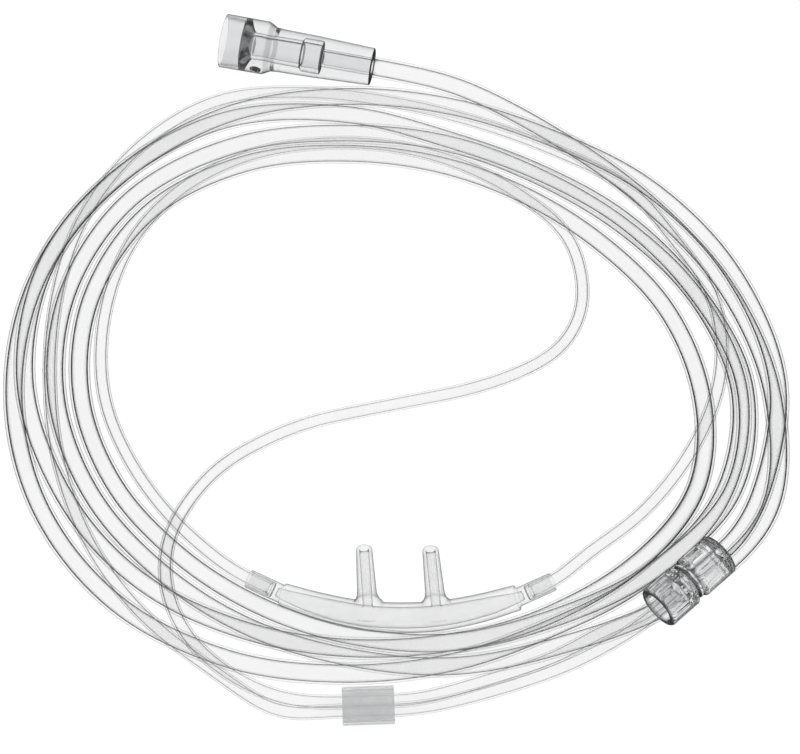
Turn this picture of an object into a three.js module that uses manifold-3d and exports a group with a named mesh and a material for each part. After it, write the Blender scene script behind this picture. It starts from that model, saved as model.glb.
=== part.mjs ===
import * as THREE from 'three';
import { mergeVertices } from 'three/addons/utils/BufferGeometryUtils.js';
import Module from 'manifold-3d';

// All lengths are in millimetres, +Z is up and the floor is at height 0.

// tubes
const supplyRadius = 2.85;
// the supply tube's straight steps lie evenly about its round course
const stepOutward = 0.6;
const thinRadius = 1.9;
const seatGap = 0.3;

// supply connector: a stepped sleeve that lies on the floor
const connectorMouth = [-48.4, 106.7, 7.4];
const connectorEnd = [-7.6, 98.2, 7.4];
const socketRadius = 6.5;
const socketDepth = 6.5;
const connectorBore = 3.5;
const connectorSeat = 12.5;

// tube junction: a ribbed cylinder on top of the hank
const junctionThinEnd = [64.6, -64.5, 12.3];
const junctionSupplyEnd = [80.7, -49.6, 12.3];
const junctionRadius = 5.8;
const junctionSupplySeat = 9;
const junctionThinSeat = 6.5;
const thinSpread = 2.1;

// slider round both thin tubes
const sliderCentre = [-7.9, -87.6, 4.8];
const sliderTurn = 2 * Math.PI / 180;
const sliderLength = 13;
const sliderRadius = 4.8;
const sliderBore = 4.3;

// nosepiece: centre line points and radii of its body, its sleeves and its prongs
const bodyLine = [
  [-29.8, -56.8, 3.2],
  [-20.3, -60.3, 3.7],
  [-10.1, -62.8, 4],
  [0, -63.6, 4.1],
  [10.1, -63, 4.1],
  [20.2, -60.9, 3.9],
  [29.8, -57.8, 3.5],
];
const bodyRadii = [2.95, 3.5, 3.8, 3.9, 3.85, 3.65, 3.3];
const sleeveRadius = 2.5;
const sleeveLeftEnd = [-38.5, -52.4, 3.2];
const sleeveRightEnd = [38.8, -53.4, 3.5];
const sleeveSeat = 6.5;
const lumenRadius = 2.2;
const prongBases = [
  [-8, -62.6, 5.2],
  [9.3, -62.6, 5.2],
];
const prongTips = [
  [-9, -52.1, 21.3],
  [7.6, -52.4, 21.3],
];
const prongTipRadius = 2.05;
const prongBaseRadius = 2.5;
const prongBore = 1.25;

// the middle of the fittings' box, which is moved to the origin
const middleX = 17.2;
const middleY = 10.66;

// Route of the supply tube round the hank: angle in degrees (clockwise from the
// right), distance from the hank's middle, and height of the centre line.
const supplyRoute = [
  [-80, 94.5, 5], [-60, 89, 3], [-40, 88.5, 3], [-20, 92.5, 3], [0, 97.5, 3], [20, 100.5, 3],
  [40, 91, 3], [60, 81.5, 3], [80, 77.5, 3], [100, 75, 3], [120, 76, 3], [140, 79, 3],
  [160, 84.5, 3], [180, 90, 3], [200, 93.5, 3], [220, 93.5, 3], [240, 88, 3], [260, 81, 3],
  [280, 77.5, 3], [300, 76, 3], [320, 78.5, 3], [340, 84, 3], [360, 89, 3], [380, 88, 3],
  [400, 81.5, 3.5], [420, 78, 8], [440, 79, 9.5], [460, 81, 6.5], [480, 86, 3], [500, 93, 3],
  [520, 98, 3], [540, 101, 3], [560, 102.5, 3], [580, 101, 3], [600, 95.5, 5], [620, 83, 9.5],
  [640, 75, 9.5], [660, 74, 9], [680, 77, 9.5], [700, 82.5, 9], [720, 89.5, 9.5], [740, 90.5, 9],
  [760, 83, 9.5], [780, 78.5, 15], [800, 76, 15], [820, 72, 10], [840, 70.5, 5.5], [860, 72.5, 3],
  [880, 78, 3], [900, 83.5, 3], [920, 87, 3], [940, 87, 3], [960, 81.5, 3], [980, 74.5, 3],
  [1000, 70.5, 3], [1020, 69, 3], [1040, 70.5, 3], [1060, 75, 3], [1080, 79, 3], [1100, 81.5, 7.5],
  [1120, 80.5, 16], [1140, 79.5, 21.5], [1160, 78.5, 21.5], [1180, 77.5, 15], [1200, 79.5, 9],
  [1220, 85, 5.5], [1240, 91, 4], [1260, 97.5, 9], [1280, 99, 13], [1300, 96, 13],
  [1320, 91.5, 14], [1340, 85, 15.5], [1360, 83.5, 12.5], [1380, 83.5, 12], [1400, 86.5, 15],
  [1420, 92.5, 13.5], [1440, 98, 10.5], [1460, 97.5, 11.5],
];

// Route of the right lariat tube, from the nosepiece's right end to the junction.
const rightRoute = [
  [45, 66, 4], [30, 71, 5], [15, 77.5, 10.5], [0, 83, 14], [-15, 85, 15], [-30, 84, 11],
  [-45, 85.5, 8], [-60, 84, 5.5], [-75, 86, 2.5], [-90, 89.5, 2.5], [-105, 95, 4.5],
  [-120, 99.5, 9.5], [-135, 100.5, 9], [-150, 98.5, 7.5], [-165, 94, 8], [-180, 91, 9.5],
  [-195, 90.5, 11], [-210, 91, 9.5], [-225, 91.5, 8.5], [-240, 91.5, 5.5],
];
const rightEnd = [
  [-285, 86, 2.5], [-300, 87.5, 4],
];

// Route of the left lariat tube: round the top, then back across the middle.
const leftRoute = [
  [135, 66, 2.5], [150, 68.5, 2.2], [165, 72.5, 2.2], [180, 77.5, 2.5], [195, 81, 5],
  [210, 83.5, 7.5], [225, 83.5, 8], [240, 80.5, 8.5], [255, 76, 8.5], [270, 72, 8.5],
  [285, 68.5, 8.5], [300, 66, 7.5], [315, 64, 6],
];
const leftBack = [
  [48.5, 27, 3], [42.5, 14.5, 2], [31, 7, 2], [17.5, 2, 2], [4, -1, 2], [-9.5, -4, 2],
  [-23, -7.5, 2.5], [-35.5, -13.5, 3.5], [-46.5, -22, 5.5], [-54.5, -33.5, 8], [-59, -46, 10.5],
  [-58.5, -60, 12], [-52.5, -72.5, 11], [-42, -81.5, 9.5], [-30, -86.5, 7.5],
];
const leftEnd = [
  [13, -84.5, 7], [26, -80.5, 7.5], [39.5, -76, 9], [52, -70, 12.5],
];

const wasm = await Module();
wasm.setup();

function place(point) {
  return new THREE.Vector3(point[0] - middleX, point[1] - middleY, point[2]);
}

function placePolar(entry, outward = 0) {
  const turn = entry[0] * Math.PI / 180;
  const radius = entry[1] + outward;
  return place([radius * Math.cos(turn), -radius * Math.sin(turn), entry[2]]);
}

function along(start, end, distance) {
  return end.clone().sub(start).normalize().multiplyScalar(distance).add(start);
}

// A smooth path whose equal steps follow its route points.
class Route extends THREE.Curve {
  constructor(points) {
    super();
    this.spline = new THREE.CatmullRomCurve3(points, false, 'centripetal');
  }
  getPoint(t, target) {
    return this.spline.getPoint(t, target);
  }
  getPointAt(t, target) {
    return this.spline.getPoint(t, target);
  }
  getTangentAt(t, target) {
    return this.spline.getTangent(t, target);
  }
}

function circle(radius, sides) {
  const shape = new THREE.Shape();
  for (let i = 0; i < sides; i += 1) {
    const turn = 2 * Math.PI * i / sides;
    if (i === 0) {
      shape.moveTo(radius, 0);
    } else {
      shape.lineTo(radius * Math.cos(turn), radius * Math.sin(turn));
    }
  }
  shape.closePath();
  return shape;
}

function tube(points, radius, sides, stepsPerSpan) {
  return new THREE.ExtrudeGeometry(circle(radius, sides), {
    steps: (points.length - 1) * stepsPerSpan,
    extrudePath: new Route(points),
    bevelEnabled: false,
    curveSegments: 1,
  });
}

function toSolid(geometry) {
  const clean = geometry.clone();
  clean.deleteAttribute('normal');
  clean.deleteAttribute('uv');
  const merged = mergeVertices(clean, 1e-4);
  return new wasm.Manifold(new wasm.Mesh({
    numProp: 3,
    vertProperties: new Float32Array(merged.attributes.position.array),
    triVerts: new Uint32Array(merged.index.array),
  }));
}

function toGeometry(solid) {
  const mesh = solid.getMesh();
  const geometry = new THREE.BufferGeometry();
  geometry.setAttribute('position', new THREE.BufferAttribute(new Float32Array(mesh.vertProperties), 3));
  geometry.setIndex(new THREE.BufferAttribute(new Uint32Array(mesh.triVerts), 1));
  const flat = geometry.toNonIndexed();
  flat.computeVertexNormals();
  return flat;
}

// A profile of (radius, distance) pairs turned about the line from start towards end.
function turned(profile, start, end, sides) {
  const points = profile.map((pair) => new THREE.Vector2(pair[0], pair[1]));
  const geometry = new THREE.LatheGeometry(points, sides);
  const direction = end.clone().sub(start).normalize();
  const turn = new THREE.Quaternion().setFromUnitVectors(new THREE.Vector3(0, 1, 0), direction);
  geometry.applyQuaternion(turn);
  geometry.translate(start.x, start.y, start.z);
  return geometry;
}

function rod(start, end, startRadius, endRadius, sides) {
  const length = start.distanceTo(end);
  return turned([[0, 0], [startRadius, 0], [endRadius, length], [0, length]], start, end, sides);
}

// A closed solid of round sections along a smooth line.
function loft(points, radii, sides, stepsPerSpan) {
  const line = new THREE.CatmullRomCurve3(points, false, 'centripetal');
  const steps = (points.length - 1) * stepsPerSpan;
  const vertices = [];
  const faces = [];
  for (let i = 0; i <= steps; i += 1) {
    const t = i / steps;
    const centre = line.getPoint(t);
    const tangent = line.getTangent(t);
    const sideways = new THREE.Vector3().crossVectors(new THREE.Vector3(0, 0, 1), tangent).normalize();
    const upward = new THREE.Vector3().crossVectors(tangent, sideways).normalize();
    const place = t * (radii.length - 1);
    const index = Math.min(Math.floor(place), radii.length - 2);
    const radius = radii[index] + (radii[index + 1] - radii[index]) * (place - index);
    for (let j = 0; j < sides; j += 1) {
      const turn = 2 * Math.PI * j / sides;
      const point = centre.clone();
      point.addScaledVector(sideways, radius * Math.cos(turn));
      point.addScaledVector(upward, radius * Math.sin(turn));
      vertices.push(point.x, point.y, point.z);
    }
  }
  for (let i = 0; i < steps; i += 1) {
    for (let j = 0; j < sides; j += 1) {
      const a = i * sides + j;
      const b = i * sides + (j + 1) % sides;
      faces.push(a, b, a + sides, b, b + sides, a + sides);
    }
  }
  const last = steps * sides;
  for (let j = 1; j < sides - 1; j += 1) {
    faces.push(0, j + 1, j);
    faces.push(last, last + j, last + j + 1);
  }
  const geometry = new THREE.BufferGeometry();
  geometry.setAttribute('position', new THREE.Float32BufferAttribute(vertices, 3));
  geometry.setIndex(faces);
  return geometry;
}

const group = new THREE.Group();

function addPiece(name, geometry, color, opacity) {
  const material = new THREE.MeshStandardMaterial({ color, roughness: 0.25, metalness: 0 });
  material.opacity = opacity;
  material.transparent = opacity < 1;
  const mesh = new THREE.Mesh(geometry, material);
  mesh.name = name;
  group.add(mesh);
}

// Supply connector: wide socket, stepped collar, then a sleeve that narrows to the tube.
const mouth = place(connectorMouth);
const sleeveEnd = place(connectorEnd);
const connectorLength = mouth.distanceTo(sleeveEnd);
const seatStart = connectorLength - connectorSeat;
const supplySeat = supplyRadius + seatGap;
const connectorProfile = [
  [socketRadius, 0],
  [7.4, 0],
  [7.3, 8],
  [7.3, 12],
  [6, 14.2],
  [5.7, seatStart - 5],
  [6, seatStart - 4.6],
  [6, seatStart - 0.8],
  [5.6, seatStart - 0.4],
  [5.15, connectorLength],
  [supplySeat, connectorLength],
  [supplySeat, seatStart],
  [connectorBore, seatStart - 1.5],
  [connectorBore, socketDepth + 2.5],
  [socketRadius - 0.3, socketDepth],
  [socketRadius, 0],
];
const connectorAxis = sleeveEnd.clone().sub(mouth).normalize();
const connectorSide = new THREE.Vector3().crossVectors(new THREE.Vector3(0, 0, 1), connectorAxis).normalize();
const lugGeometry = new THREE.BoxGeometry(3, 1.8, 2.4);
lugGeometry.rotateZ(Math.atan2(connectorAxis.y, connectorAxis.x));
const lugCentre = along(mouth, sleeveEnd, 10.5).addScaledVector(connectorSide, -7.4);
lugGeometry.translate(lugCentre.x, lugCentre.y, lugCentre.z);
const connectorBody = toSolid(turned(connectorProfile, mouth, sleeveEnd, 32));
addPiece('supply_connector', toGeometry(connectorBody.add(toSolid(lugGeometry))), 0xd9dddd, 0.6);

// Supply tube, from its seat in the connector to its seat in the junction.
const thinEnd = place(junctionThinEnd);
const supplyEnd = place(junctionSupplyEnd);
const supplyPoints = [
  along(sleeveEnd, mouth, connectorSeat - 0.4),
  along(sleeveEnd, mouth, 5),
  along(sleeveEnd, mouth, -4),
];
for (const entry of supplyRoute) {
  supplyPoints.push(placePolar(entry, stepOutward));
}
supplyPoints.push(along(supplyEnd, thinEnd, -5));
supplyPoints.push(along(supplyEnd, thinEnd, 1));
supplyPoints.push(along(supplyEnd, thinEnd, junctionSupplySeat - 0.4));
addPiece('supply_tube', tube(supplyPoints, supplyRadius, 10, 1), 0xe6e9e9, 0.45);

// Junction: two ribbed halves with a waist, drilled from both ends.
const junctionLength = thinEnd.distanceTo(supplyEnd);
const halfLength = junctionLength / 2;
const junctionProfile = [
  [0, 0],
  [5.3, 0],
  [junctionRadius, 0.8],
  [junctionRadius, halfLength - 1.8],
  [4.7, halfLength - 1],
  [4.7, halfLength + 0.6],
  [junctionRadius, halfLength + 1.4],
  [junctionRadius, junctionLength - 0.6],
  [5.3, junctionLength],
  [0, junctionLength],
];
const junctionOffset = new THREE.Vector3(0, 0, thinSpread);
const lowSeat = thinEnd.clone().sub(junctionOffset);
const highSeat = thinEnd.clone().add(junctionOffset);
const thinDirection = supplyEnd.clone().sub(thinEnd).normalize();
let junctionBody = toSolid(turned(junctionProfile, thinEnd, supplyEnd, 32));
for (const seat of [lowSeat, highSeat]) {
  const bottom = seat.clone().addScaledVector(thinDirection, junctionThinSeat);
  const outside = seat.clone().addScaledVector(thinDirection, -1);
  junctionBody = junctionBody.subtract(toSolid(rod(outside, bottom, 2.2, 2.2, 16)));
}
const socketBottom = along(supplyEnd, thinEnd, junctionSupplySeat);
const socketOutside = along(supplyEnd, thinEnd, -1);
junctionBody = junctionBody.subtract(toSolid(rod(socketBottom, socketOutside, supplySeat, supplySeat, 20)));
const channelStart = along(thinEnd, supplyEnd, junctionThinSeat - 1);
const channelEnd = along(supplyEnd, thinEnd, junctionSupplySeat - 1);
junctionBody = junctionBody.subtract(toSolid(rod(channelStart, channelEnd, 2, 2, 16)));
addPiece('tube_junction', toGeometry(junctionBody), 0xd9dddd, 0.6);

// Slider: a plain sleeve round both tubes.
const sliderMiddle = place(sliderCentre);
const sliderAxis = new THREE.Vector3(Math.cos(sliderTurn), Math.sin(sliderTurn), 0);
const sliderStart = sliderMiddle.clone().addScaledVector(sliderAxis, -sliderLength / 2);
const sliderEnd = sliderMiddle.clone().addScaledVector(sliderAxis, sliderLength / 2);
const sliderProfile = [
  [sliderBore, 0],
  [sliderRadius, 0],
  [sliderRadius, sliderLength],
  [sliderBore, sliderLength],
  [sliderBore, 0],
];
addPiece('slider', turned(sliderProfile, sliderStart, sliderEnd, 32), 0xd2d5d5, 0.7);

// Straight run of both thin tubes through the slider.
function throughSlider(sideways, upward, distances) {
  const side = new THREE.Vector3(-sliderAxis.y, sliderAxis.x, 0);
  const points = [];
  for (const distance of distances) {
    const point = sliderMiddle.clone().addScaledVector(sliderAxis, distance);
    point.addScaledVector(side, sideways);
    point.z += upward;
    points.push(point);
  }
  return points;
}
const sliderSide = 0.4;
const sliderUp = 2.05;

// Nosepiece: hollow curved body, two sleeves and two prongs in one moulding.
const bodyPoints = bodyLine.map(place);
const leftSleeveEnd = place(sleeveLeftEnd);
const rightSleeveEnd = place(sleeveRightEnd);
const leftShoulder = bodyPoints[0];
const rightShoulder = bodyPoints[bodyPoints.length - 1];
const innerLeft = along(leftShoulder, leftSleeveEnd, -2.5);
const innerRight = along(rightShoulder, rightSleeveEnd, -2.5);
let nose = toSolid(loft(bodyPoints, bodyRadii, 20, 3));
nose = nose.add(toSolid(rod(innerLeft, leftSleeveEnd, sleeveRadius, sleeveRadius, 16)));
nose = nose.add(toSolid(rod(innerRight, rightSleeveEnd, sleeveRadius, sleeveRadius, 16)));
const filletSteps = [[0, 3.6], [1, 3.2], [2, 2.85], [3.2, 2.6], [5, prongBaseRadius]];
const prongLines = prongBases.map((base, index) => [place(base), place(prongTips[index])]);
for (const [base, tip] of prongLines) {
  const length = base.distanceTo(tip);
  const profile = [[0, -1], [3.6, -1]];
  for (const [distance, radius] of filletSteps) {
    profile.push([radius, distance]);
  }
  profile.push([prongTipRadius, length], [0, length]);
  nose = nose.add(toSolid(turned(profile, base, tip, 20)));
}
const lumenPoints = [along(leftShoulder, leftSleeveEnd, sleeveSeat - 5.5)];
lumenPoints.push(...bodyPoints);
lumenPoints.push(along(rightShoulder, rightSleeveEnd, sleeveSeat - 5.5));
const lumenRadii = lumenPoints.map(() => lumenRadius);
nose = nose.subtract(toSolid(loft(lumenPoints, lumenRadii, 16, 3)));
for (const [shoulder, end] of [[leftShoulder, leftSleeveEnd], [rightShoulder, rightSleeveEnd]]) {
  const bottom = along(end, shoulder, sleeveSeat);
  const outside = along(end, shoulder, -1);
  nose = nose.subtract(toSolid(rod(bottom, outside, thinRadius + 0.28, thinRadius + 0.28, 16)));
  nose = nose.subtract(toSolid(rod(shoulder, bottom, 1.4, 1.4, 12)));
}
for (const [base, tip] of prongLines) {
  nose = nose.subtract(toSolid(rod(base, along(tip, base, -1), prongBore, prongBore, 12)));
}
addPiece('nosepiece', toGeometry(nose), 0xeceeee, 0.55);

// Right lariat tube: nosepiece, over the top, down the left, slider, junction.
const rightPoints = [
  along(rightSleeveEnd, rightShoulder, sleeveSeat - 0.4),
  along(rightSleeveEnd, rightShoulder, 3),
  along(rightSleeveEnd, rightShoulder, -2),
];
for (const entry of rightRoute) {
  rightPoints.push(placePolar(entry));
}
rightPoints.push(...throughSlider(-sliderSide, -sliderUp, [-22, -12, 0, 12]));
for (const entry of rightEnd) {
  rightPoints.push(placePolar(entry));
}
rightPoints.push(lowSeat.clone().addScaledVector(thinDirection, -4));
rightPoints.push(lowSeat.clone().addScaledVector(thinDirection, 1));
rightPoints.push(lowSeat.clone().addScaledVector(thinDirection, junctionThinSeat - 0.4));
addPiece('right_lariat_tube', tube(rightPoints, thinRadius, 8, 2), 0xe6e9e9, 0.45);

// Left lariat tube: nosepiece, round the top, back across the middle, slider, junction.
const leftPoints = [
  along(leftSleeveEnd, leftShoulder, sleeveSeat - 0.4),
  along(leftSleeveEnd, leftShoulder, 3),
  along(leftSleeveEnd, leftShoulder, -2),
];
for (const entry of leftRoute) {
  leftPoints.push(placePolar(entry));
}
for (const entry of leftBack) {
  leftPoints.push(place(entry));
}
leftPoints.push(...throughSlider(sliderSide, sliderUp, [-12, 0, 12]));
for (const entry of leftEnd) {
  leftPoints.push(place(entry));
}
leftPoints.push(highSeat.clone().addScaledVector(thinDirection, -4));
leftPoints.push(highSeat.clone().addScaledVector(thinDirection, 1));
leftPoints.push(highSeat.clone().addScaledVector(thinDirection, junctionThinSeat - 0.4));
addPiece('left_lariat_tube', tube(leftPoints, thinRadius, 8, 2), 0xe6e9e9, 0.45);

export default group;
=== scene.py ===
import math
import bpy
import numpy as np
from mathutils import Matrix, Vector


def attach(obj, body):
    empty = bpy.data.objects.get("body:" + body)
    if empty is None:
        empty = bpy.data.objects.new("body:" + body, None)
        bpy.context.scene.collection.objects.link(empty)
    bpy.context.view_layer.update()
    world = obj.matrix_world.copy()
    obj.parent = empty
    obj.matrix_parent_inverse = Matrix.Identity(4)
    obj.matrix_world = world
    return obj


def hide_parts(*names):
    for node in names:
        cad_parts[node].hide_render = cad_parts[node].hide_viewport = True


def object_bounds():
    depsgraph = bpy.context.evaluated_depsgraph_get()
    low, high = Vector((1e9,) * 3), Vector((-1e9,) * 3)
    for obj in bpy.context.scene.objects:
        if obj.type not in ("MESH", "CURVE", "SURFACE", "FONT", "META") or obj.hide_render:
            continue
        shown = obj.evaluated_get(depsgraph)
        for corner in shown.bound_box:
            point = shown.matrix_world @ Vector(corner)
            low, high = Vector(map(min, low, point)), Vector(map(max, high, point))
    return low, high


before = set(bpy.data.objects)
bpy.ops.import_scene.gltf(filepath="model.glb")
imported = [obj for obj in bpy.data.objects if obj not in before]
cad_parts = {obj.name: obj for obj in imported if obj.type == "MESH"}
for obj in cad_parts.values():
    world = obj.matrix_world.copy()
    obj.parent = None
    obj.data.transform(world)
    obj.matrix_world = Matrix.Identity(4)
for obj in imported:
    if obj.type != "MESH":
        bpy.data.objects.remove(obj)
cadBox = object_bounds()
print("frame loaded")

# Shapes are worked out in millimetres about the hank's middle, then placed in the frame in metres.
metre = 0.001
hankMiddle = np.array([17.2, 10.66, 0.0])


def inFrame(points):
    return (np.asarray(points, float) - hankMiddle) * metre


# Camera: looks down on the hank from the front
cameraLook = {"elevation": 63.0, "distance": 900.0, "lens": 153.9, "aim": (0.0, 6.8, 0.0),
              "clipStart": 0.02, "clipEnd": 20}

cameraData = bpy.data.cameras.new("camera")
cameraData.lens = cameraLook["lens"]
cameraData.clip_start = cameraLook["clipStart"]
cameraData.clip_end = cameraLook["clipEnd"]
cameraObject = bpy.data.objects.new("camera", cameraData)
bpy.context.scene.collection.objects.link(cameraObject)
tilt = math.radians(cameraLook["elevation"])
back = np.array([0.0, -math.cos(tilt), math.sin(tilt)])
aim = np.array(cameraLook["aim"])
cameraObject.location = inFrame(aim + cameraLook["distance"] * back).tolist()
cameraObject.rotation_euler = (math.pi / 2 - tilt, 0, 0)
bpy.context.scene.camera = cameraObject
print("camera placed")


def unit(vectors):
    vectors = np.asarray(vectors, float)
    return vectors / np.linalg.norm(vectors, axis=-1, keepdims=True)


def along(start, end, distance):
    start, end = np.asarray(start, float), np.asarray(end, float)
    return start + unit(end - start) * distance


def fromPolar(route):
    # angle clockwise from the right in degrees, distance from the middle, height
    route = np.asarray(route, float)
    turn = np.radians(route[:, 0])
    return np.stack([route[:, 1] * np.cos(turn), -route[:, 1] * np.sin(turn), route[:, 2]], -1)


stepsPerSpan = 48


def smoothRoute(points, spacing, lowest):
    # a curve through all points, its speed following the square root of their distances,
    # then even steps along it
    points = np.asarray(points, float)
    before = np.vstack([2 * points[0] - points[1], points[:-1]])
    after = np.vstack([points[1:], 2 * points[-1] - points[-2]])
    p0, p1, p2, p3 = before[:-1], points[:-1], points[1:], after[1:]
    spans = ((p0, p1), (p1, p2), (p2, p3))
    d0, d1, d2 = (np.linalg.norm(b - a, axis=1)[:, None] ** 0.5 for a, b in spans)
    m1 = ((p1 - p0) / d0 - (p2 - p0) / (d0 + d1) + (p2 - p1) / d1) * d1
    m2 = ((p2 - p1) / d1 - (p3 - p1) / (d1 + d2) + (p3 - p2) / d2) * d1
    t = np.linspace(0, 1, stepsPerSpan, endpoint=False)[None, :, None]
    p1, p2, m1, m2 = (a[:, None, :] for a in (p1, p2, m1, m2))
    fine = p1 + m1 * t + (3 * (p2 - p1) - 2 * m1 - m2) * t**2 + (2 * (p1 - p2) + m1 + m2) * t**3
    fine = np.vstack([fine.reshape(-1, 3), points[-1:]])
    fine[:, 2] = np.maximum(fine[:, 2], lowest)
    length = np.concatenate([[0], np.cumsum(np.linalg.norm(np.diff(fine, axis=0), axis=1))])
    steps = np.linspace(0, length[-1], int(length[-1] / spacing) + 1)
    return np.stack([np.interp(steps, length, fine[:, axis]) for axis in range(3)], -1), length[-1]


def eased(path, reach, lowest, highest):
    # a moving bell-shaped average along the path, with both ends kept in place
    spacing = np.linalg.norm(path[1] - path[0])
    half = int(3 * reach / spacing)
    weights = np.exp(-0.5 * (np.arange(-half, half + 1) * spacing / reach) ** 2)
    weights /= weights.sum()
    before = 2 * path[0] - path[half:0:-1]
    after = 2 * path[-1] - path[-2:-half - 2:-1]
    padded = np.vstack([before, path, after])
    out = np.stack([np.convolve(padded[:, axis], weights, "valid") for axis in range(3)], -1)
    out[:, 2] = np.clip(out[:, 2], lowest, highest)
    return out


def gridMesh(name, grid, closeRows, closeColumns, caps=()):
    # a sheet of quads over a grid of points, optionally joined round in either direction
    rows, columns = grid.shape[:2]
    r = np.arange(rows if closeRows else rows - 1)[:, None]
    c = np.arange(columns if closeColumns else columns - 1)[None, :]
    rNext, cNext = (r + 1) % rows, (c + 1) % columns
    quads = np.stack(np.broadcast_arrays(
        r * columns + c, r * columns + cNext, rNext * columns + cNext, rNext * columns + c), -1)
    mesh = bpy.data.meshes.new(name)
    faces = quads.reshape(-1, 4).tolist() + [list(cap) for cap in caps]
    mesh.from_pydata(inFrame(grid.reshape(-1, 3)).tolist(), [], faces)
    mesh.update()
    # longways and round coordinates for patterns that follow the surface
    layer = mesh.uv_layers.new(name="surface")
    u0, v0 = np.broadcast_arrays(r / rows, c / columns)
    du, dv = 1 / rows, 1 / columns
    uv = np.stack([np.stack([u0, v0], -1), np.stack([u0, v0 + dv], -1),
                   np.stack([u0 + du, v0 + dv], -1), np.stack([u0 + du, v0], -1)], -2).reshape(-1, 2)
    full = np.zeros((len(mesh.loops), 2))
    full[:len(uv)] = uv
    layer.data.foreach_set("uv", full.ravel())
    mesh.shade_smooth()
    piece = bpy.data.objects.new(name, mesh)
    bpy.context.scene.collection.objects.link(piece)
    return piece


def ringsAlong(path, sides):
    # directions from every path point to the points of a circle round it, square to the path
    tangent = unit(np.gradient(path, axis=0))
    side = unit(np.cross([0.0, 0.0, 1.0], tangent))
    up = np.cross(tangent, side)
    turn = 2 * np.pi * np.arange(sides) / sides
    return side[:, None, :] * np.cos(turn)[None, :, None] + up[:, None, :] * np.sin(turn)[None, :, None]


def hollowTube(name, path, outer, inner, sides):
    # circles carried along the path: along the outer wall, then back along the bore, joined at both ends
    ring = ringsAlong(path, sides)
    outside = path[:, None, :] + outer * ring
    inside = path[::-1, None, :] + inner * ring[::-1]
    return gridMesh(name, np.concatenate([outside, inside]), True, True)


def turnedShell(name, profile, start, end, sides, ribs=None, paintedShadeFaces=None):
    # A closed profile of (radius, distance) pairs turned about the line from start to end.
    # Faces in hollows and at steps get painted shade, a dark share stored as deepShade; each is
    # given as least and most radius, least and most distance, and a share.
    profile = np.asarray(profile, float)
    start, end = np.asarray(start, float), np.asarray(end, float)
    axis = unit(end - start)
    side = unit(np.cross([0.0, 0.0, 1.0], axis))
    up = np.cross(axis, side)
    turn = 2 * np.pi * np.arange(sides) / sides
    radius = np.repeat(profile[:, :1], sides, axis=1)
    if ribs is not None:
        radius = radius - ribs(profile, turn)
    ring = side * np.cos(turn)[:, None] + up * np.sin(turn)[:, None]
    grid = start + axis * profile[:, 1][:, None, None] + radius[..., None] * ring[None]
    piece = gridMesh(name, grid, True, True)
    if paintedShadeFaces is not None:
        shade = np.zeros(len(profile))
        for leastRadius, mostRadius, leastDistance, mostDistance, share in paintedShadeFaces:
            inside = (profile[:, 0] >= leastRadius) & (profile[:, 0] <= mostRadius)
            inside &= (profile[:, 1] >= leastDistance) & (profile[:, 1] <= mostDistance)
            shade[inside] = share
        layer = piece.data.attributes.new("deepShade", "FLOAT", "POINT")
        layer.data.foreach_set("value", np.repeat(shade, sides))
    return piece


cornerPoints = 5


def softened(profile, radius):
    # every corner of a closed profile becomes a short curve, no longer than a third of its sides
    profile = np.asarray(profile, float)
    out = []
    count = len(profile)
    for i in range(count):
        a, b, c = profile[i - 1], profile[i], profile[(i + 1) % count]
        la, lc = np.linalg.norm(a - b), np.linalg.norm(c - b)
        reach = min(radius, la / 3, lc / 3)
        p, q = b + (a - b) / la * reach, b + (c - b) / lc * reach
        t = np.linspace(0, 1, cornerPoints)[:, None]
        out.append((1 - t) ** 2 * p + 2 * t * (1 - t) * b + t**2 * q)
    return np.vstack(out)


def refined(profile, step):
    # points no further apart than step along a closed profile
    profile = np.asarray(profile, float)
    following = np.roll(profile, -1, axis=0)
    out = []
    for a, b in zip(profile, following):
        count = max(1, int(np.linalg.norm(b - a) / step))
        out.append(a + (b - a) * (np.arange(count) / count)[:, None])
    return np.vstack(out)


# Fittings' places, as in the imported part
fitting = {
    "connectorMouth": (-48.4, 106.7, 7.4), "connectorEnd": (-7.6, 98.2, 7.4),
    "junctionThinEnd": (64.6, -64.5, 12.3), "junctionSupplyEnd": (80.7, -49.6, 12.3),
    "thinSpread": 2.1, "junctionThinSeat": 6.1,
    "sliderCentre": (-7.9, -87.6, 4.8), "sliderTurn": 2.0, "sliderSide": 0.4, "sliderUp": 2.05,
    "leftSleeveEnd": (-38.5, -52.4, 3.2), "rightSleeveEnd": (38.8, -53.4, 3.5),
    "leftShoulder": (-29.8, -56.8, 3.2), "rightShoulder": (29.8, -57.8, 3.5),
    "sleeveSeat": 6.1,
}
supply = {"outer": 2.85, "bore": 2.25, "spacing": 2.2, "sides": 32, "lift": 0.1, "ease": 3.0,
          "endGap": 0.05, "straightStart": 4.0, "straightEnd": 5.0}
thin = {"outer": 1.9, "bore": 1.42, "spacing": 1.7, "sides": 28, "lift": 0.05, "rightEase": 4.5,
        "leftEase": 4.0}
supplyLowest = supply["outer"] + supply["lift"]
thinLowest = thin["outer"] + thin["lift"]
highest = cadBox[1][2] / metre - supply["outer"] - supply["endGap"]

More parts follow.
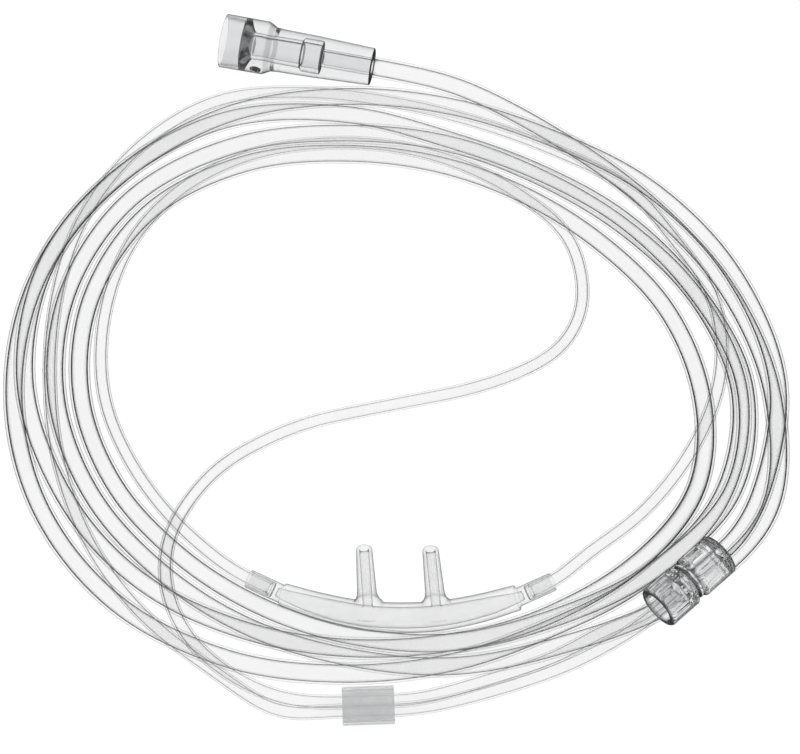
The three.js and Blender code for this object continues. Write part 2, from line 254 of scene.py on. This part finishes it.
# Supply tube: round the hank from the connector, clockwise, then into the junction
supplyRoute = [
    [-80, 94.5, 5], [-60, 89, 3], [-40, 88.5, 3], [-20, 92.5, 3], [0, 97.5, 3], [20, 100.5, 3],
    [40, 91, 3], [60, 81.5, 3], [80, 77.5, 3], [100, 75, 3], [120, 76, 3], [140, 79, 3],
    [160, 84.5, 3], [180, 90, 3], [200, 93.5, 3], [220, 93.5, 3], [240, 88, 3], [260, 81, 3],
    [280, 77.5, 3], [300, 76, 3], [320, 78.5, 3], [340, 84, 3], [360, 89, 3], [380, 88, 3],
    [400, 81.5, 3.5], [420, 78, 8], [440, 79, 9.5], [460, 81, 6.5], [480, 86, 3], [500, 93, 3],
    [520, 98, 3], [540, 101, 3], [560, 102.5, 3], [580, 101, 3], [600, 95.5, 5], [620, 83, 9.5],
    [640, 75, 9.5], [660, 74, 9], [680, 77, 9.5], [700, 82.5, 9], [720, 89.5, 9.5], [740, 90.5, 9],
    [760, 83, 9.5], [780, 78.5, 15], [800, 76, 15], [820, 72, 10], [840, 70.5, 5.5], [860, 72.5, 3],
    [880, 78, 3], [900, 83.5, 3], [920, 87, 3], [940, 87, 3], [960, 81.5, 3], [980, 74.5, 3],
    [1000, 70.5, 3], [1020, 69, 3], [1040, 70.5, 3], [1060, 75, 3], [1080, 79, 3], [1100, 81.5, 7.5],
    [1120, 80.5, 16], [1140, 79.5, 21.5], [1160, 78.5, 21.5], [1180, 77.5, 15], [1200, 79.5, 9],
    [1220, 85, 5.5], [1240, 91, 4], [1260, 97.5, 9], [1280, 99, 13], [1300, 96, 13],
    [1320, 91.5, 14], [1340, 85, 15.5], [1360, 83.5, 12.5], [1380, 83.5, 12], [1400, 86.5, 15],
    [1420, 92.5, 13.5], [1440, 98, 10.5], [1460, 97.5, 11.5],
]
connectorMouth, connectorEnd = fitting["connectorMouth"], fitting["connectorEnd"]
thinEnd, supplyEnd = np.array(fitting["junctionThinEnd"]), np.array(fitting["junctionSupplyEnd"])
supplyPoints = np.vstack([
    along(connectorEnd, connectorMouth, -supply["endGap"]),
    along(connectorEnd, connectorMouth, -supply["straightStart"]),
    fromPolar(supplyRoute),
    along(supplyEnd, thinEnd, -supply["straightEnd"]),
    along(supplyEnd, thinEnd, -supply["endGap"]),
])
supplyPath, supplyLength = smoothRoute(supplyPoints, supply["spacing"], supplyLowest)
supplyPath = eased(supplyPath, supply["ease"], supplyLowest, highest)
supplyTube = hollowTube("supplyTube", supplyPath, supply["outer"], supply["bore"], supply["sides"])

# Right lariat tube: nosepiece, over the top, down the left side, slider, junction
rightRoute = [
    [45, 66, 4], [30, 71, 5], [15, 77.5, 10.5], [0, 83, 14], [-15, 85, 15], [-30, 84, 11],
    [-45, 85.5, 8], [-60, 84, 5.5], [-75, 86, 2.5], [-90, 89.5, 2.5], [-105, 95, 4.5],
    [-120, 99.5, 9.5], [-135, 100.5, 9], [-150, 98.5, 7.5], [-165, 94, 8], [-180, 91, 9.5],
    [-195, 90.5, 11], [-210, 91, 9.5], [-225, 91.5, 8.5], [-240, 91.5, 5.5],
]
rightEnd = [[-285, 86, 2.5], [-300, 87.5, 4]]

# Left lariat tube: nosepiece, round the top, back across the middle, slider, junction
leftRoute = [
    [135, 66, 2.5], [150, 68.5, 2.2], [165, 72.5, 2.2], [180, 77.5, 2.5], [195, 81, 5],
    [210, 83.5, 7.5], [225, 83.5, 8], [240, 80.5, 8.5], [255, 76, 8.5], [270, 72, 8.5],
    [285, 68.5, 8.5], [300, 66, 7.5], [315, 64, 6],
]
leftBack = [
    [48.5, 27, 3], [42.5, 14.5, 2], [31, 7, 2], [17.5, 2, 2], [4, -1, 2], [-9.5, -4, 2],
    [-23, -7.5, 2.5], [-35.5, -13.5, 3.5], [-46.5, -22, 5.5], [-54.5, -33.5, 8], [-59, -46, 10.5],
    [-58.5, -60, 12], [-52.5, -72.5, 11], [-42, -81.5, 9.5], [-30, -86.5, 7.5],
]
leftEnd = [[13, -84.5, 7], [26, -80.5, 7.5], [39.5, -76, 9], [52, -70, 12.5]]

sliderTurn = math.radians(fitting["sliderTurn"])
sliderAxis = np.array([math.cos(sliderTurn), math.sin(sliderTurn), 0.0])
sliderAcross = np.array([-sliderAxis[1], sliderAxis[0], 0.0])


def throughSlider(sideways, upward, distances):
    centre = np.array(fitting["sliderCentre"]) + sliderAcross * sideways + np.array([0, 0, upward])
    return centre + np.outer(distances, sliderAxis)


junctionAxis = unit(supplyEnd - thinEnd)
lowSeat = thinEnd - np.array([0, 0, fitting["thinSpread"]])
highSeat = thinEnd + np.array([0, 0, fitting["thinSpread"]])
seatSteps = np.array([[-4.0], [1.0], [fitting["junctionThinSeat"]]])
rightSleeve, rightShoulder = fitting["rightSleeveEnd"], fitting["rightShoulder"]
leftSleeve, leftShoulder = fitting["leftSleeveEnd"], fitting["leftShoulder"]
sleeveSteps = (fitting["sleeveSeat"], 3, -2)
rightPoints = np.vstack([
    [along(rightSleeve, rightShoulder, step) for step in sleeveSteps],
    fromPolar(rightRoute),
    throughSlider(-fitting["sliderSide"], -fitting["sliderUp"], [-22, -12, 0, 12]),
    fromPolar(rightEnd), lowSeat + seatSteps * junctionAxis,
])
leftPoints = np.vstack([
    [along(leftSleeve, leftShoulder, step) for step in sleeveSteps],
    fromPolar(leftRoute), leftBack,
    throughSlider(fitting["sliderSide"], fitting["sliderUp"], [-12, 0, 12]),
    leftEnd, highSeat + seatSteps * junctionAxis,
])
rightPath, rightLength = smoothRoute(rightPoints, thin["spacing"], thinLowest)
leftPath, leftLength = smoothRoute(leftPoints, thin["spacing"], thinLowest)
rightPath = eased(rightPath, thin["rightEase"], thinLowest, highest)
leftPath = eased(leftPath, thin["leftEase"], thinLowest, highest)
rightTube = hollowTube("rightLariatTube", rightPath, thin["outer"], thin["bore"], thin["sides"])
leftTube = hollowTube("leftLariatTube", leftPath, thin["outer"], thin["bore"], thin["sides"])
print("tubes made: supply %.0f mm, right %.0f mm, left %.0f mm" % (supplyLength, rightLength, leftLength))

# Supply connector: open socket, cone, bore, wider chamber, then the tube's own bore in the bonded sleeve
connector = {"sides": 96, "rounding": 0.25, "step": 0.4}
beyondEnd = 99
connectorLength = float(np.linalg.norm(np.subtract(connectorEnd, connectorMouth)))
connectorProfile = [
    (6.75, 0), (7.35, 0), (7.3, 11.6), (7.15, 12.2), (6.1, 14.1), (5.9, 16), (5.72, 26),
    (5.1, connectorLength), (1.8, connectorLength), (1.8, 28), (2.7, 27.8), (3.4, 27.5),
    (3.4, 22.3), (2.8, 21.9), (2.7, 8.8),
    (3.2, 8.2), (6.3, 5.9), (6.45, 5.5),
]
# painted shade on deep faces: the cone, both ends of the chamber, the mouth's rim, the collar's step, the
# end
connectorShade = [
    (2.8, 6.4, 5.6, 8.9, 0.6), (2.75, 3.45, 21.8, 22.35, 0.6), (1.85, 3.45, 27.4, 28.1, 0.6),
    (6.4, 6.9, -0.1, 0.1, 0.3), (6.0, 6.9, 12.4, 14.0, 0.25),
    (1.75, 5.1, connectorLength - 0.1, beyondEnd, 0.3),
]
connectorOutline = refined(softened(connectorProfile, connector["rounding"]), connector["step"])
connectorShell = turnedShell("supplyConnector", connectorOutline, connectorMouth, connectorEnd,
                             connector["sides"], None, connectorShade)

# Small rounded lug beside the connector's collar
lug = {"size": (3.2, 2.2, 2.6), "distance": 10.5, "sideways": -7.15,
       "segments": 32, "rings": 20}
bpy.ops.mesh.primitive_uv_sphere_add(segments=lug["segments"], ring_count=lug["rings"], radius=0.5)
lugPiece = bpy.context.active_object
lugPiece.name = "connectorLug"
connectorAxis = unit(np.subtract(connectorEnd, connectorMouth))
lugPlace = along(connectorMouth, connectorEnd, lug["distance"])
lugPlace = lugPlace + lug["sideways"] * unit(np.cross([0.0, 0.0, 1.0], connectorAxis))
lugPiece.scale = (np.array(lug["size"]) * metre).tolist()
lugPiece.rotation_euler = (0, 0, math.atan2(connectorAxis[1], connectorAxis[0]))
lugPiece.location = inFrame(lugPlace).tolist()
bpy.ops.object.transform_apply(location=True, rotation=True, scale=True)

# Junction: two ribbed halves, a waist with a ring, and rims
junction = {"radius": 5.8, "sides": 144, "ribs": 8, "ribDepth": 0.28, "rounding": 0.3, "step": 0.6,
            "ribWidth": 1.6, "ribShift": 0.9, "waistClear": 2.2, "thinRim": 1.0, "supplyRim": 2.0}
rim = junction["radius"]
junctionLength = float(np.linalg.norm(supplyEnd - thinEnd))
middle = junctionLength / 2
junctionProfile = [
    (4.08, 0), (5.45, 0), (rim, 0.5), (rim, middle - 1.9), (4.9, middle - 1.2), (4.8, middle - 0.5),
    (5.1, middle - 0.3), (5.1, middle + 0.2), (4.8, middle + 0.4), (4.9, middle + 0.8),
    (rim, middle + 1.5), (rim, junctionLength - 1.7), (5.6, junctionLength - 1.5),
    (5.6, junctionLength - 1.1), (rim, junctionLength - 0.9), (5.75, junctionLength),
    (1.55, junctionLength), (1.55, junctionLength - 9), (2.6, junctionLength - 9.6), (2.6, 8.2),
    (4.08, 6.6),
]


def junctionRibs(profile, turn):
    # shallow flats between ribs, only on the outside of both halves and away from their rims
    radius, distance = profile[:, 0], profile[:, 1]
    ribbed = (radius > rim - 0.1) & (np.abs(distance - middle) > junction["waistClear"])
    ribbed &= (distance > junction["thinRim"]) & (distance < junctionLength - junction["supplyRim"])
    wave = np.clip(junction["ribWidth"] * np.cos(junction["ribs"] * turn) + junction["ribShift"], 0, 1)
    return ribbed[:, None] * junction["ribDepth"] * wave[None, :]


# painted shade on deep faces: the thin tubes' end, both sides of the waist, the groove, the supply tube's
# end
junctionShade = [
    (4.0, 5.7, -0.1, 0.3, 0.5), (4.7, 5.0, middle - 1.3, middle - 0.3, 0.75),
    (4.7, 5.7, middle + 0.3, middle + 1.3, 0.45),
    (5.5, 5.7, junctionLength - 1.6, junctionLength - 1, 0.35),
    (1.6, 5.6, junctionLength - 0.1, beyondEnd, 0.2),
]
junctionOutline = refined(softened(junctionProfile, junction["rounding"]), junction["step"])
junctionShell = turnedShell("tubeJunction", junctionOutline, thinEnd, supplyEnd, junction["sides"],
                            junctionRibs, junctionShade)

# Slider: a plain cloudy sleeve
slider = {"length": 13.0, "outer": 4.8, "bore": 4.1, "sides": 72, "rounding": 0.2, "step": 0.6}
sliderStart = np.array(fitting["sliderCentre"]) - sliderAxis * slider["length"] / 2
sliderProfile = [(slider["bore"], 0), (slider["outer"], 0), (slider["outer"], slider["length"]),
                 (slider["bore"], slider["length"])]
sliderOutline = refined(softened(sliderProfile, slider["rounding"]), slider["step"])
sliderShell = turnedShell("slider", sliderOutline, sliderStart,
                          sliderStart + sliderAxis * slider["length"], slider["sides"])

# Nosepiece: body, sleeves and prongs melted into one soft moulding, then hollowed.
# Each grid is the number of sides and rings of one round form.
nose = {
    "bodyLine": [(-29.8, -56.8, 3.2), (-20.3, -60.3, 3.7), (-10.1, -62.8, 4.0), (0, -63.6, 4.1),
                 (10.1, -63.0, 4.1), (20.2, -60.9, 3.9), (29.8, -57.8, 3.5)],
    "bodyRadii": [2.95, 3.5, 3.8, 3.9, 3.85, 3.65, 3.3],
    "sleeve": 2.4, "sleeveRoot": 2.5, "voxel": 0.24, "smoothing": 4, "lineStep": 0.1,
    "lumenRadii": [1.2, 2.1, 2.6, 2.7, 2.7, 2.7, 2.6, 2.2, 1.2], "lumenReach": 1.5,
    "seatBore": 1.96, "seatStart": 2.8, "past": 1.0,
    "prongBases": [(-8.0, -62.6, 5.2), (9.3, -62.6, 5.2)],
    "prongTips": [(-9.0, -52.1, 21.3), (7.6, -52.4, 21.3)],
    "prongProfile": [(0, 4.4), (2.2, 4.2), (3.0, 3.5), (3.9, 3.0), (5.0, 2.65), (6.5, 2.45)],
    "prongTip": 2.05, "prongBore": 1.25,
    "bodyGrid": (40, 80), "sleeveGrid": (32, 12), "prongGrid": (32, 24),
    "lumenGrid": (32, 60), "seatGrid": (32, 6), "boreGrid": (28, 10),
}


def roundLoft(name, line, radii, sides, rings):
    # circles of changing radius carried along a smooth line and closed by a flat cap at each end
    path = smoothRoute(line, nose["lineStep"], 0)[0]
    share = np.linspace(0, 1, rings)
    place = np.linspace(0, 1, len(path))
    centre = np.stack([np.interp(share, place, path[:, axis]) for axis in range(3)], -1)
    radius = np.interp(share, np.linspace(0, 1, len(radii)), radii)
    ring = ringsAlong(centre, sides)
    last = (rings - 1) * sides
    caps = [range(sides - 1, -1, -1), range(last, last + sides)]
    return gridMesh(name, centre[:, None, :] + radius[:, None, None] * ring, False, True, caps)


def cleaned(piece):
    # merged doubles and outward faces, so that unions and cuts see closed solids
    bpy.context.view_layer.objects.active = piece
    bpy.ops.object.select_all(action="DESELECT")
    piece.select_set(True)
    bpy.ops.object.mode_set(mode="EDIT")
    bpy.ops.mesh.select_all(action="SELECT")
    bpy.ops.mesh.remove_doubles(threshold=1e-6)
    bpy.ops.mesh.normals_make_consistent(inside=False)
    bpy.ops.object.mode_set(mode="OBJECT")
    return piece


def applyModifier(piece, kind, **settings):
    modifier = piece.modifiers.new(kind.lower(), kind)
    for key, value in settings.items():
        setattr(modifier, key, value)
    bpy.context.view_layer.objects.active = piece
    bpy.ops.object.modifier_apply(modifier=modifier.name)


def joined(pieces):
    bpy.ops.object.select_all(action="DESELECT")
    for piece in pieces:
        piece.select_set(True)
    bpy.context.view_layer.objects.active = pieces[0]
    bpy.ops.object.join()
    return pieces[0]


def melted(name, pieces, voxel, smoothing):
    whole = joined([cleaned(piece) for piece in pieces])
    whole.name = name
    applyModifier(whole, "REMESH", mode="VOXEL", voxel_size=voxel * metre)
    applyModifier(whole, "SMOOTH", factor=0.5, iterations=smoothing)
    return whole


prongLines = list(zip(np.array(nose["prongBases"]), np.array(nose["prongTips"])))
sleeveLines = [("Left", leftShoulder, leftSleeve), ("Right", rightShoulder, rightSleeve)]
outerParts = [roundLoft("noseBody", nose["bodyLine"], nose["bodyRadii"], *nose["bodyGrid"])]
for label, shoulder, end in sleeveLines:
    root = along(shoulder, end, -nose["sleeveRoot"])
    outerParts.append(roundLoft("nose" + label, [root, end], [nose["sleeve"]] * 2, *nose["sleeveGrid"]))
for number, (base, tip) in enumerate(prongLines):
    length = float(np.linalg.norm(tip - base))
    distances, radii = zip(*nose["prongProfile"], (length, nose["prongTip"]))
    even = np.linspace(0, length, nose["prongGrid"][1])
    prongRadii = np.interp(even, distances, radii)
    outerParts.append(roundLoft("noseProng%d" % number, [base, tip], prongRadii, *nose["prongGrid"]))
nosepiece = melted("nosepiece", outerParts, nose["voxel"], nose["smoothing"])
lumenLine = np.vstack([along(leftShoulder, leftSleeve, nose["lumenReach"]), nose["bodyLine"],
                       along(rightShoulder, rightSleeve, nose["lumenReach"])])
cutters = [roundLoft("cutBody", lumenLine, nose["lumenRadii"], *nose["lumenGrid"])]
for label, shoulder, end in sleeveLines:
    seat = [along(end, shoulder, -nose["past"]), along(shoulder, end, nose["seatStart"])]
    cutters.append(roundLoft("cut" + label, seat, [nose["seatBore"]] * 2, *nose["seatGrid"]))
for number, (base, tip) in enumerate(prongLines):
    boreLine = [base, along(tip, base, -nose["past"])]
    boreRadii = [nose["prongBore"]] * 2
    cutters.append(roundLoft("cutProng%d" % number, boreLine, boreRadii, *nose["boreGrid"]))
for cutter in cutters:
    cleaned(cutter)
    applyModifier(nosepiece, "BOOLEAN", operation="DIFFERENCE", object=cutter, solver="EXACT")
    bpy.data.objects.remove(cutter)
nosepiece.data.shade_smooth()
for cleanedPiece in (lugPiece, connectorShell):
    cleaned(cleanedPiece)
applyModifier(connectorShell, "BOOLEAN", operation="UNION", object=lugPiece, solver="EXACT")
bpy.data.objects.remove(lugPiece)
print("fittings made")


class Socket:
    # a node output that can be added, multiplied and compared in ordinary formulas
    def __init__(self, tree, output):
        self.tree, self.output = tree, output

    def math(self, operation, other, swapped=False, clamp=False):
        node = self.tree.nodes.new("ShaderNodeMath")
        node.operation = operation
        node.use_clamp = clamp
        values = [other, self] if swapped else [self, other]
        for slot, value in zip(node.inputs, values):
            if isinstance(value, Socket):
                self.tree.links.new(value.output, slot)
            else:
                slot.default_value = value
        return Socket(self.tree, node.outputs[0])

    def __add__(self, other):
        return self.math("ADD", other)

    def __radd__(self, other):
        return self.math("ADD", other, swapped=True)

    def __sub__(self, other):
        return self.math("SUBTRACT", other)

    def __rsub__(self, other):
        return self.math("SUBTRACT", other, swapped=True)

    def __mul__(self, other):
        return self.math("MULTIPLY", other)

    def __rmul__(self, other):
        return self.math("MULTIPLY", other, swapped=True)

    def __truediv__(self, other):
        return self.math("DIVIDE", other)

    def __pow__(self, other):
        return self.math("POWER", other)

    def clamped(self):
        return self.math("ADD", 0.0, clamp=True)


class Material:
    def __init__(self, name):
        self.material = bpy.data.materials.new(name)
        self.material.use_nodes = True
        self.tree = self.material.node_tree
        self.tree.nodes.clear()

    def node(self, kind, settings=None, inputs=None):
        made = self.tree.nodes.new("ShaderNode" + kind)
        for key, value in (settings or {}).items():
            setattr(made, key, value)
        for key, value in (inputs or {}).items():
            self.feed(made.inputs[key], value)
        return made

    def feed(self, slot, value):
        if isinstance(value, Socket):
            self.tree.links.new(value.output, slot)
        else:
            slot.default_value = value

    def out(self, made, name=0):
        return Socket(self.tree, made.outputs[name])

    def place(self):
        return self.out(self.node("TexCoord"), "Object")

    def noise(self, size, detail):
        # soft random values, size in metres
        made = self.node("TexNoise", None, {
            "Vector": self.place(), "Scale": 1 / size, "Detail": detail, "Roughness": 0.5})
        return self.out(made, 0)

    def blend(self, share, first, second):
        made = self.node("Mix", {"data_type": "RGBA"})
        self.feed(made.inputs[0], share)
        self.feed(made.inputs[6], first)
        self.feed(made.inputs[7], second)
        return self.out(made, 2)

    def bump(self, height, distance):
        made = self.node("Bump", None, {"Height": height, "Distance": distance, "Strength": 1.0})
        return self.out(made, 0)

    def mixed(self, share, first, second):
        made = self.node("MixShader", None, {0: share})
        self.tree.links.new(first.outputs[0], made.inputs[1])
        self.tree.links.new(second.outputs[0], made.inputs[2])
        return made

    def daylit(self, surface, share):
        # daylight passes on to the floor instead of being stopped, as clear plastic throws hardly a shadow
        rays = self.node("LightPath")
        passing = self.out(rays, "Is Shadow Ray").math("MAXIMUM", self.out(rays, "Is Diffuse Ray"))
        through = self.node("BsdfTransparent", None, {"Color": (*[share] * 3, 1)})
        return self.mixed(passing, surface, through)

    def finish(self, surface):
        output = self.node("OutputMaterial")
        self.tree.links.new(surface.outputs[0], output.inputs["Surface"])
        return self.material


def clearPlastic(name, look):
    # Clear vinyl. The lines are painted shade: dark colour that stands in for the dark which refraction
    # and reflection bring into a clear wall near its outline. Line share = strength * ((facing - start) /
    # (1 - start)) ^ power, where facing is 0 seen square on and 1 seen edge on, so walls darken towards
    # their outlines. A tube's bore has a painted line of its own, and both are times front + (1 - front) *
    # sideways normal squared, so the painted shade is strongest where the surface faces along x. Fittings
    # add the painted shade of their deep faces. Grey share = haze * (0.7 + 0.6 * noise) + line. Colour =
    # haze colour mixed with the line colour by the line share, or in fittings two tints mixed by
    # noise; roughness = base + spread * noise; fine waves lift the surface. Fittings refract and are
    # mixed with the line colour by the grey share, part the plastic's own haze and part painted shade;
    # the other pieces are see-through but for it.
    made = Material(name)
    facing = made.out(made.node("LayerWeight", None, {"Blend": 0.5}), "Facing")

    def lineOf(wall):
        start, power, strength = look[wall]
        return ((facing - start) / (1 - start)).clamped() ** power * strength

    patches = made.noise(look["patchSize"], 3.0)
    grain = made.noise(look["grainSize"], 2.0)
    # painted shade darkening the outer wall towards its outline
    line = lineOf("outerLine")
    if "boreLine" in look:
        uvMap = made.node("UVMap", {"uv_map": "surface"})
        lengthways = made.out(made.node("SeparateXYZ", None, {0: made.out(uvMap)}), 0)
        bore = lengthways.math("GREATER_THAN", 0.5)
        line = line + (lineOf("boreLine") - line) * bore
        # painted shade: lines stronger where the surface faces along x than where it faces front or up
        outward = made.out(made.node("TexCoord"), "Normal")
        across = made.out(made.node("SeparateXYZ", None, {0: outward}), 0)
        line = line * (look["frontLine"] + across * across * (1 - look["frontLine"]))
    # fittings add the painted shade of their deep faces to the lines
    if "refraction" in look:
        line = line + made.out(made.node("Attribute", {"attribute_name": "deepShade"}), "Fac")
    haze = (patches * 0.6 + 0.7) * look["haze"]
    line = line.clamped()
    roughness = (grain * look["roughSpread"] + look["rough"]).clamped()
    normal = made.bump(grain, look["waveHeight"])
    if "refraction" not in look:
        # haze colour turned towards the dark line colour by the painted shade
        colour = made.blend(line, (*look["hazeColour"], 1), (*look["lineShadeColour"], 1))
        lined = made.node("BsdfPrincipled", None, {
            "Base Color": colour, "Roughness": roughness, "Normal": normal,
            "Specular IOR Level": look["shine"], "Alpha": (haze + line).clamped()})
        return made.finish(made.daylit(lined, look["shadow"]))
    tint = made.blend(patches, (*look["tint"], 1), (*look["tintDeep"], 1))
    glass = made.node("BsdfPrincipled", None, {
        "Base Color": tint, "Roughness": roughness, "Normal": normal, "IOR": look["refraction"],
        "Transmission Weight": 1.0})
    # dark layer carrying the painted lines and painted shade over the refracting glass
    dark = made.node("BsdfPrincipled", None, {
        "Base Color": (*look["lineShadeColour"], 1), "Roughness": 0.3, "Specular IOR Level": look["shine"]})
    lined = made.mixed((haze + line).clamped(), glass, dark)
    return made.finish(made.daylit(lined, look["shadow"]))


# every line of painted shade is (facing where it starts, power, strength); sizes and waves in metres
looks = {
    "supplyTube": {
        "shine": 0.0, "shadow": 0.995, "outerLine": (0.4, 1.6, 0.8), "boreLine": (0.15, 2.2, 4.2),
        "frontLine": 0.35, "haze": 0.045, "hazeColour": (0.26, 0.263, 0.267),
        "lineShadeColour": (0.015, 0.015, 0.016), "rough": 0.12, "roughSpread": 0.1, "patchSize": 0.02,
        "grainSize": 0.003, "waveHeight": 0.00001,
    },
    "thinTube": {
        "shine": 0.0, "shadow": 0.995, "outerLine": (0.35, 1.6, 0.8), "boreLine": (0.15, 2.2, 2.4),
        "frontLine": 0.4, "haze": 0.045, "hazeColour": (0.26, 0.263, 0.267),
        "lineShadeColour": (0.015, 0.015, 0.016), "rough": 0.12, "roughSpread": 0.1, "patchSize": 0.015,
        "grainSize": 0.002, "waveHeight": 0.00001,
    },
    "clearFitting": {
        "shine": 0.0, "shadow": 0.97, "outerLine": (0.35, 1.9, 1.35), "haze": 0.05,
        "lineShadeColour": (0.03, 0.03, 0.032), "tint": (0.93, 0.935, 0.94), "tintDeep": (0.89, 0.895, 0.9),
        "refraction": 1.35, "rough": 0.03, "roughSpread": 0.06, "patchSize": 0.006,
        "grainSize": 0.001, "waveHeight": 0.00002,
    },
    "cloudySleeve": {
        "shine": 0.2, "shadow": 0.97, "outerLine": (0.5, 1.5, 0.4), "haze": 0.34,
        "hazeColour": (0.47, 0.475, 0.48), "lineShadeColour": (0.3, 0.3, 0.31), "rough": 0.35,
        "roughSpread": 0.15, "patchSize": 0.005, "grainSize": 0.0006, "waveHeight": 0.00003,
    },
    "softClear": {
        "shine": 0.0, "shadow": 0.98, "outerLine": (0.2, 2.0, 1.3), "haze": 0.2,
        "hazeColour": (0.66, 0.665, 0.67), "lineShadeColour": (0.06, 0.06, 0.063), "rough": 0.2,
        "roughSpread": 0.1, "patchSize": 0.006, "grainSize": 0.0008, "waveHeight": 0.00002,
    },
}
materials = {name: clearPlastic(name, look) for name, look in looks.items()}


def wear(piece, look, body, nodeName):
    piece.data.materials.clear()
    piece.data.materials.append(materials[look])
    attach(piece, body)
    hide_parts(nodeName)


wear(supplyTube, "supplyTube", "cannula", "supply_tube")
wear(rightTube, "thinTube", "cannula", "right_lariat_tube")
wear(leftTube, "thinTube", "cannula", "left_lariat_tube")
wear(connectorShell, "clearFitting", "cannula", "supply_connector")
wear(junctionShell, "clearFitting", "cannula", "tube_junction")
wear(sliderShell, "cloudySleeve", "slider", "slider")
wear(nosepiece, "softClear", "cannula", "nosepiece")


print("materials and cords set")

# Room: a white level floor under an even, bright white sky
room = {"floorSize": 3.0, "floorGrey": 0.95, "skyTop": 1.0, "skyLow": 0.05, "skyStrength": 1.31,
        "riseStart": 0.15, "riseEnd": 0.6}

floorMesh = bpy.data.meshes.new("floor")
edge = room["floorSize"] / 2
floorCorners = [(-edge, -edge, 0), (edge, -edge, 0), (edge, edge, 0), (-edge, edge, 0)]
floorMesh.from_pydata(floorCorners, [], [(0, 1, 2, 3)])
floorObject = bpy.data.objects.new("floor", floorMesh)
bpy.context.scene.collection.objects.link(floorObject)
floorPaint = Material("floor")
floorSurface = floorPaint.node("BsdfDiffuse", None, {"Color": (*[room["floorGrey"]] * 3, 1)})
floorMesh.materials.append(floorPaint.finish(floorSurface))


def makeSky():
    # brightness rises with height above the horizon, from riseStart to riseEnd, and is even above that
    world = bpy.data.worlds.new("sky")
    bpy.context.scene.world = world
    world.use_nodes = True
    tree = world.node_tree
    tree.nodes.clear()
    place = tree.nodes.new("ShaderNodeTexCoord")
    parts = tree.nodes.new("ShaderNodeSeparateXYZ")
    tree.links.new(place.outputs["Generated"], parts.inputs[0])
    ramp = tree.nodes.new("ShaderNodeMapRange")
    ramp.inputs["From Min"].default_value = room["riseStart"]
    ramp.inputs["From Max"].default_value = room["riseEnd"]
    ramp.inputs["To Min"].default_value = room["skyLow"]
    ramp.inputs["To Max"].default_value = room["skyTop"]
    tree.links.new(parts.outputs[2], ramp.inputs["Value"])
    light = tree.nodes.new("ShaderNodeBackground")
    tree.links.new(ramp.outputs[0], light.inputs["Color"])
    light.inputs["Strength"].default_value = room["skyStrength"]
    output = tree.nodes.new("ShaderNodeOutputWorld")
    tree.links.new(light.outputs[0], output.inputs["Surface"])


makeSky()
scene = bpy.context.scene
scene.view_settings.view_transform = "Standard"
scene.cycles.max_bounces = 24
scene.cycles.transmission_bounces = 20
scene.cycles.glossy_bounces = 8
scene.cycles.diffuse_bounces = 3
scene.cycles.transparent_max_bounces = 96
scene.cycles.caustics_refractive = True
scene.cycles.caustics_reflective = False
print("light and floor set")
